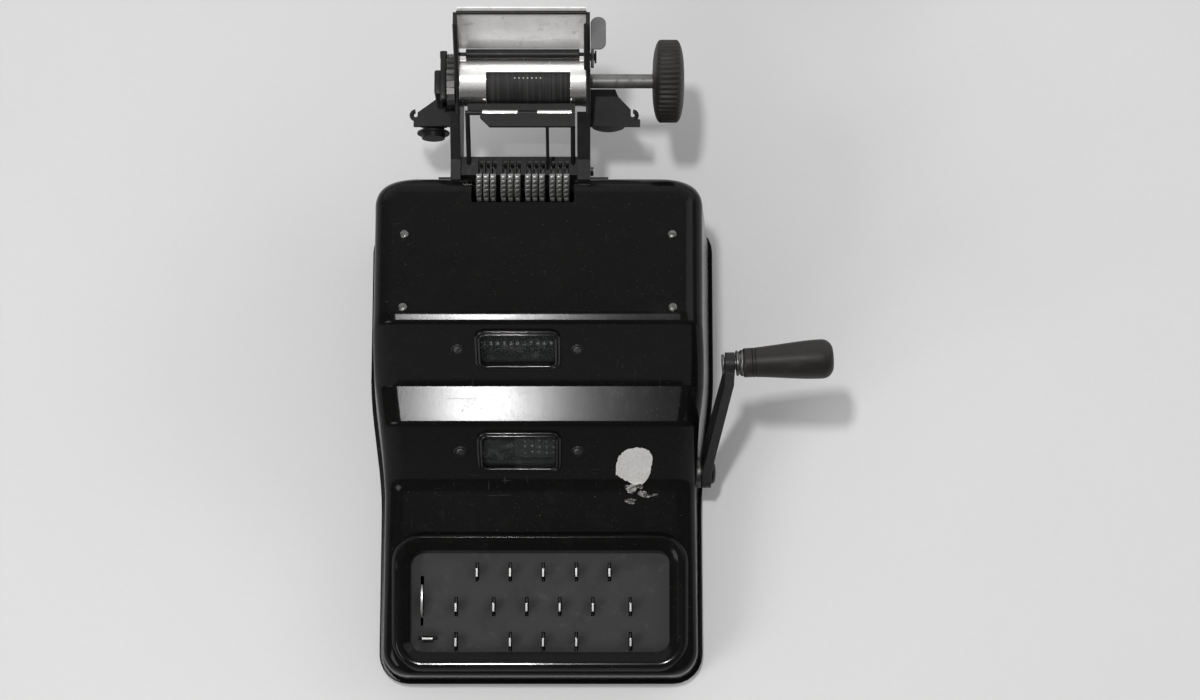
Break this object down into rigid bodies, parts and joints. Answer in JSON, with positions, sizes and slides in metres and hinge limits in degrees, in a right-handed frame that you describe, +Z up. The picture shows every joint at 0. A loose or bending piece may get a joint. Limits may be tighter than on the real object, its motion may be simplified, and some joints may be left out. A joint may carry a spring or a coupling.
{
  "type": "mechanical calculator",
  "caption": "Hand-cranked ten-key printing adding machine with a terraced black case, bare key stems, register windows, side crank and a rear platen.",
  "frame": {"origin": "on the table, under the middle of the whole machine's bounding box", "axes": "+X to the machine's right, where the crank is; +Y to its rear, where the platen is; +Z up"},
  "size_m": [0.2978, 0.4002, 0.1988],
  "materials": {
    "black_enamel": "black stoved enamel, semi-gloss",
    "grey_paint": "matte grey",
    "nickel": "worn nickel plate",
    "steel": "oiled steel",
    "dark_steel": "blackened steel",
    "rubber": "matte",
    "ebonite": "black ebonite, satin",
    "glass": "clear"
  },
  "bodies": {
    "chassis": {"base_pan": "black_enamel", "feet": "rubber", "case_cover": "black_enamel", "screws": "nickel", "window_frames": "black_enamel", "window_panes": "glass", "key_bezel": "black_enamel", "key_plate": "grey_paint", "key_guide": "dark_steel", "key_spring_comb": "steel", "left_frame": "steel", "right_frame": "steel", "cross_rods": "steel", "index_rails": "steel", "crank_bush": "steel", "carriage_left_plate": "dark_steel", "carriage_right_plate": "dark_steel", "type_shaft": "steel", "type_comb": "dark_steel", "platen_shield": "nickel", "paper_table": "nickel", "ribbon_guide": "dark_steel", "left_ribbon_bracket": "dark_steel", "right_ribbon_bracket": "dark_steel"},
    "crank": {"crank_shaft": "steel", "crank_arm": "dark_steel", "grip_spindle": "steel"},
    "grip": {"crank_grip": "ebonite", "grip_ferrule": "nickel"},
    "type_bars": {"type_bars": "steel"},
    "result_wheels": {"result_wheels": "black_enamel"},
    "index_carriage": {"index_carriage": "dark_steel"},
    "platen": {"platen_roller": "rubber", "platen_shaft": "nickel", "platen_knob": "ebonite", "ratchet_wheel": "steel"},
    "left_spool": {"left_spool": "dark_steel"},
    "right_spool": {"right_spool": "dark_steel"},
    "release_lever": {"release_lever": "grey_paint"},
    "repeat_lever": {"repeat_lever": "nickel"},
    "correction_key": {"correction_key": "nickel"},
    "key_01": {"key_01": "nickel"},
    "key_02": {"key_02": "nickel"},
    "key_03": {"key_03": "nickel"},
    "key_04": {"key_04": "nickel"},
    "key_05": {"key_05": "nickel"},
    "key_06": {"key_06": "nickel"},
    "key_07": {"key_07": "nickel"},
    "key_08": {"key_08": "nickel"},
    "key_09": {"key_09": "nickel"},
    "key_10": {"key_10": "nickel"},
    "key_11": {"key_11": "nickel"},
    "key_12": {"key_12": "nickel"},
    "key_13": {"key_13": "nickel"},
    "key_14": {"key_14": "nickel"},
    "key_15": {"key_15": "nickel"},
    "key_16": {"key_16": "nickel"}
  },
  "joints": [
    {"name": "crank_pull", "type": "hinge", "parent": "chassis", "child": "crank", "pos_m": [-0.03441, -0.06558, 0.042], "axis": [1, 0, 0], "range_deg": [0, 75], "stiffness_Nm_per_rad": 0.3, "springref_deg": -28.65},
    {"name": "grip_spin", "type": "hinge", "parent": "crank", "child": "grip", "pos_m": [0.09272, -0.01487, 0.14985], "axis": [0.9986, 0.0523, 0], "continuous": true},
    {"name": "type_swing", "type": "hinge", "parent": "chassis", "child": "type_bars", "pos_m": [-0.04441, 0.12192, 0.1], "axis": [-1, 0, 0], "range_deg": [0, 60]},
    {"name": "result_spin", "type": "hinge", "parent": "chassis", "child": "result_wheels", "pos_m": [-0.04741, 0.01408, 0.11914], "axis": [1, 0, 0], "continuous": true},
    {"name": "index_step", "type": "slide", "parent": "chassis", "child": "index_carriage", "axis": [-1, 0, 0], "range_m": [0, 0.042]},
    {"name": "platen_spin", "type": "hinge", "parent": "chassis", "child": "platen", "pos_m": [-0.04441, 0.16892, 0.144], "axis": [1, 0, 0], "continuous": true},
    {"name": "left_spool_spin", "type": "hinge", "parent": "chassis", "child": "left_spool", "pos_m": [-0.10341, 0.14692, 0.1045], "axis": [0, 1, 0], "continuous": true},
    {"name": "right_spool_spin", "type": "hinge", "parent": "chassis", "child": "right_spool", "pos_m": [0.00959, 0.14692, 0.1045], "axis": [0, 1, 0], "continuous": true},
    {"name": "release_tilt", "type": "hinge", "parent": "chassis", "child": "release_lever", "pos_m": [-0.00191, 0.17992, 0.16], "axis": [1, 0, 0], "range_deg": [0, 12], "stiffness_Nm_per_rad": 0.03, "springref_deg": -17.19},
    {"name": "repeat_tilt", "type": "hinge", "parent": "chassis", "child": "repeat_lever", "pos_m": [-0.11081, -0.14605, 0.0188], "axis": [1, 0, 0], "range_deg": [-14, 14]},
    {"name": "correction_press", "type": "slide", "parent": "chassis", "child": "correction_key", "axis": [0, 0.1564, -0.9877], "range_m": [0, 0.004], "stiffness_N_per_m": 200, "springref_m": -0.004},
    {"name": "key_01_press", "type": "slide", "parent": "chassis", "child": "key_01", "axis": [0, 0.1564, -0.9877], "range_m": [0, 0.004], "stiffness_N_per_m": 200, "springref_m": -0.004, "deforming": ["key_spring_comb"]},
    {"name": "key_02_press", "type": "slide", "parent": "chassis", "child": "key_02", "axis": [0, 0.1564, -0.9877], "range_m": [0, 0.004], "stiffness_N_per_m": 200, "springref_m": -0.004},
    {"name": "key_03_press", "type": "slide", "parent": "chassis", "child": "key_03", "axis": [0, 0.1564, -0.9877], "range_m": [0, 0.004], "stiffness_N_per_m": 200, "springref_m": -0.004},
    {"name": "key_04_press", "type": "slide", "parent": "chassis", "child": "key_04", "axis": [0, 0.1564, -0.9877], "range_m": [0, 0.004], "stiffness_N_per_m": 200, "springref_m": -0.004},
    {"name": "key_05_press", "type": "slide", "parent": "chassis", "child": "key_05", "axis": [0, 0.1564, -0.9877], "range_m": [0, 0.004], "stiffness_N_per_m": 200, "springref_m": -0.004},
    {"name": "key_06_press", "type": "slide", "parent": "chassis", "child": "key_06", "axis": [0, 0.1564, -0.9877], "range_m": [0, 0.004], "stiffness_N_per_m": 200, "springref_m": -0.004},
    {"name": "key_07_press", "type": "slide", "parent": "chassis", "child": "key_07", "axis": [0, 0.1564, -0.9877], "range_m": [0, 0.004], "stiffness_N_per_m": 200, "springref_m": -0.004},
    {"name": "key_08_press", "type": "slide", "parent": "chassis", "child": "key_08", "axis": [0, 0.1564, -0.9877], "range_m": [0, 0.004], "stiffness_N_per_m": 200, "springref_m": -0.004},
    {"name": "key_09_press", "type": "slide", "parent": "chassis", "child": "key_09", "axis": [0, 0.1564, -0.9877], "range_m": [0, 0.004], "stiffness_N_per_m": 200, "springref_m": -0.004},
    {"name": "key_10_press", "type": "slide", "parent": "chassis", "child": "key_10", "axis": [0, 0.1564, -0.9877], "range_m": [0, 0.004], "stiffness_N_per_m": 200, "springref_m": -0.004},
    {"name": "key_11_press", "type": "slide", "parent": "chassis", "child": "key_11", "axis": [0, 0.1564, -0.9877], "range_m": [0, 0.004], "stiffness_N_per_m": 200, "springref_m": -0.004},
    {"name": "key_12_press", "type": "slide", "parent": "chassis", "child": "key_12", "axis": [0, 0.1564, -0.9877], "range_m": [0, 0.004], "stiffness_N_per_m": 200, "springref_m": -0.004},
    {"name": "key_13_press", "type": "slide", "parent": "chassis", "child": "key_13", "axis": [0, 0.1564, -0.9877], "range_m": [0, 0.004], "stiffness_N_per_m": 200, "springref_m": -0.004},
    {"name": "key_14_press", "type": "slide", "parent": "chassis", "child": "key_14", "axis": [0, 0.1564, -0.9877], "range_m": [0, 0.004], "stiffness_N_per_m": 200, "springref_m": -0.004},
    {"name": "key_15_press", "type": "slide", "parent": "chassis", "child": "key_15", "axis": [0, 0.1564, -0.9877], "range_m": [0, 0.004], "stiffness_N_per_m": 200, "springref_m": -0.004},
    {"name": "key_16_press", "type": "slide", "parent": "chassis", "child": "key_16", "axis": [0, 0.1564, -0.9877], "range_m": [0, 0.004], "stiffness_N_per_m": 200, "springref_m": -0.004}
  ],
  "couplings": [
    {"joint": "type_swing", "follows": "crank_pull", "ratio": 0.8}
  ]
}
